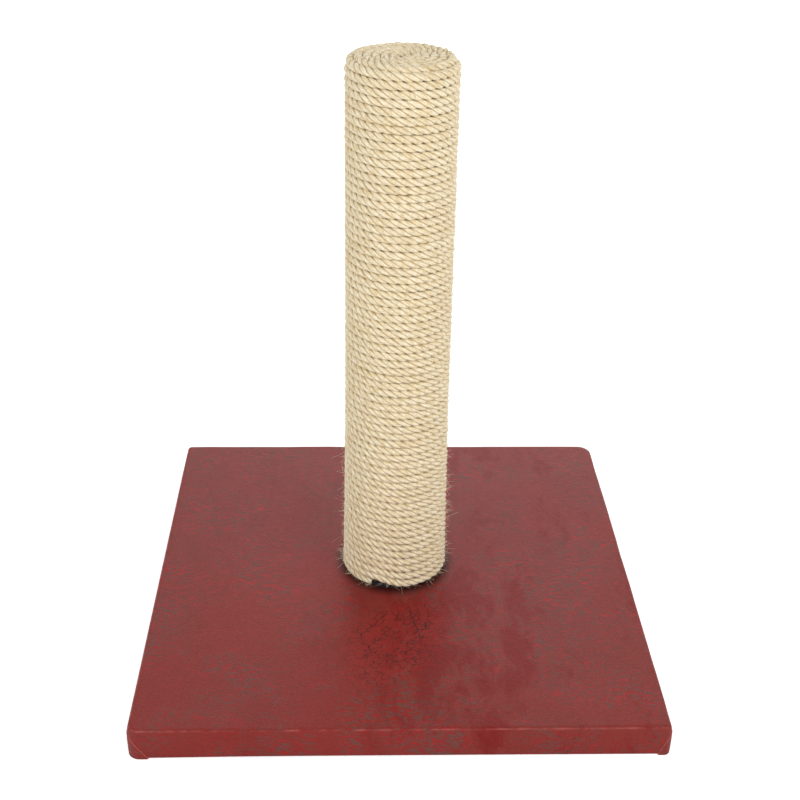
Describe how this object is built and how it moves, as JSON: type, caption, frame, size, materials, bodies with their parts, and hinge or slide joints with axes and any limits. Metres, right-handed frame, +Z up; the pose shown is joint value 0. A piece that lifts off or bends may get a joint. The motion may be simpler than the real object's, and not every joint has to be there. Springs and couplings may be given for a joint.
{
  "type": "cat scratching post",
  "caption": "Free-standing scratching post: a rope-wound round post bolted upright to a flat square base board in a wrapped and stapled cover.",
  "frame": {"origin": "middle of the base's underside, on the floor", "axes": "+Z up along the post, -Y to the front, +X to the right of someone who faces the front; the post's axis is 10 mm behind the origin"},
  "size_m": [0.4, 0.4016, 0.4638],
  "materials": {
    "particle_board": "raw",
    "burgundy_leatherette": "distressed oil-waxed leatherette",
    "black_felt": "matte non-woven",
    "galvanised_wire": "galvanised",
    "zinc_plated_steel": "bright zinc",
    "black_plastic": "moulded matte",
    "grey_cardboard": "spiral-wound board",
    "sisal_rope": "three-strand laid rope"
  },
  "bodies": {
    "root": {"base_board": "particle_board", "base_cover": "burgundy_leatherette", "base_liner": "black_felt", "cover_staples": "galvanised_wire", "bolt_washer": "zinc_plated_steel", "post_bolt": "zinc_plated_steel", "post_nut": "zinc_plated_steel", "post_foot_cap": "black_plastic", "post_top_cap": "black_plastic", "core_tube": "grey_cardboard", "post_rope": "sisal_rope"}
  },
  "joints": []
}
